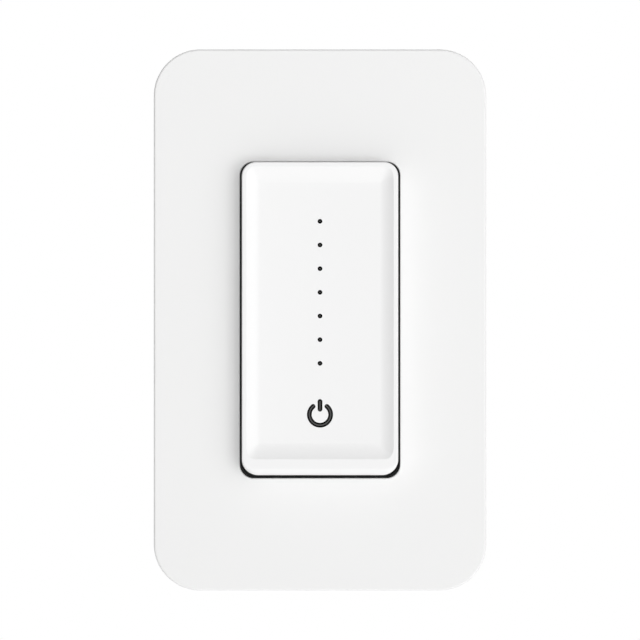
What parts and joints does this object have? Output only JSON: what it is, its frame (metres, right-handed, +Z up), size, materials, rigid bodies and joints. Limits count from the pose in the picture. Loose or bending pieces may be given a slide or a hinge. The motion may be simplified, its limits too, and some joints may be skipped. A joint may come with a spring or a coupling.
{
  "type": "smart dimmer switch",
  "caption": "In-wall dimmer with a screwless wall plate, one dished press paddle with indicator dots and a power symbol, and rear screw terminals.",
  "frame": {"origin": "midway between the two box screws, on the wall plane that the strap's rear face and the wall plate's rim lie on", "axes": "+Z up along the plate, +X to the right seen from the front, +Y into the wall along the box screws"},
  "size_m": [0.0702, 0.0453, 0.1142],
  "materials": {
    "plate_white": "fine matte",
    "paddle_white": "satin",
    "adapter_white": "matte",
    "frame_black": "matte",
    "housing_grey": "matte",
    "strap_metal": "rolled",
    "steel": "zinc plated",
    "white_screw": "painted",
    "brass": "machined",
    "ground_green": "lacquered",
    "fibre": "fibre",
    "smoke": "smoked",
    "board_green": "solder mask",
    "chip_black": "moulded",
    "lamp": "clear",
    "shield": "tinned",
    "pad_grey": "matt",
    "ferrite": "sintered",
    "copper": "enamelled",
    "tape_yellow": "taped",
    "capacitor_grey": "smooth",
    "capacitor_sleeve": "sleeved",
    "varistor_blue": "dipped"
  },
  "bodies": {
    "device": {"wall_plate": "plate_white", "sub_plate": "adapter_white", "sub_plate_screws": "white_screw", "mounting_strap": "strap_metal", "mounting_screws": "steel", "screw_retainers": "fibre", "ground_screw": "ground_green", "front_frame": "frame_black", "return_spring": "steel", "touch_board": "board_green", "indicator_leds": "lamp", "power_led": "lamp", "touch_chip": "chip_black", "touch_link": "chip_black", "control_board": "board_green", "switch_body": "chip_black", "control_chip": "chip_black", "radio_board": "board_green", "radio_shield": "shield", "power_link": "chip_black", "heat_spreader": "strap_metal", "insulating_pads": "pad_grey", "dimming_transistors": "chip_black", "transistor_screws": "steel", "power_board": "board_green", "film_capacitor": "capacitor_grey", "bulk_capacitor": "capacitor_sleeve", "choke_core": "ferrite", "choke_winding": "copper", "transformer_core": "ferrite", "transformer_bobbin": "tape_yellow", "bridge_rectifier": "chip_black", "varistor": "varistor_blue", "fuse": "chip_black", "terminal_cages": "brass", "terminal_screws": "brass", "rear_housing": "housing_grey", "housing_screws": "steel"},
    "paddle": {"paddle": "paddle_white", "dot_light_guide": "smoke", "power_light_guide": "smoke"},
    "plunger": {"switch_plunger": "chip_black"}
  },
  "joints": [
    {"name": "paddle_press", "type": "hinge", "parent": "device", "child": "paddle", "pos_m": [0, -0.0032, 0.0295], "axis": [1, 0, 0], "range_deg": [0, 0.627], "stiffness_Nm_per_rad": 5, "springref_deg": -1.15, "deforming": ["return_spring"]},
    {"name": "switch_press", "type": "slide", "parent": "device", "child": "plunger", "axis": [0, 1, 0], "range_m": [0, 0.0005]}
  ],
  "couplings": [
    {"joint": "switch_press", "follows": "paddle_press", "m_per_rad": 0.0431}
  ]
}
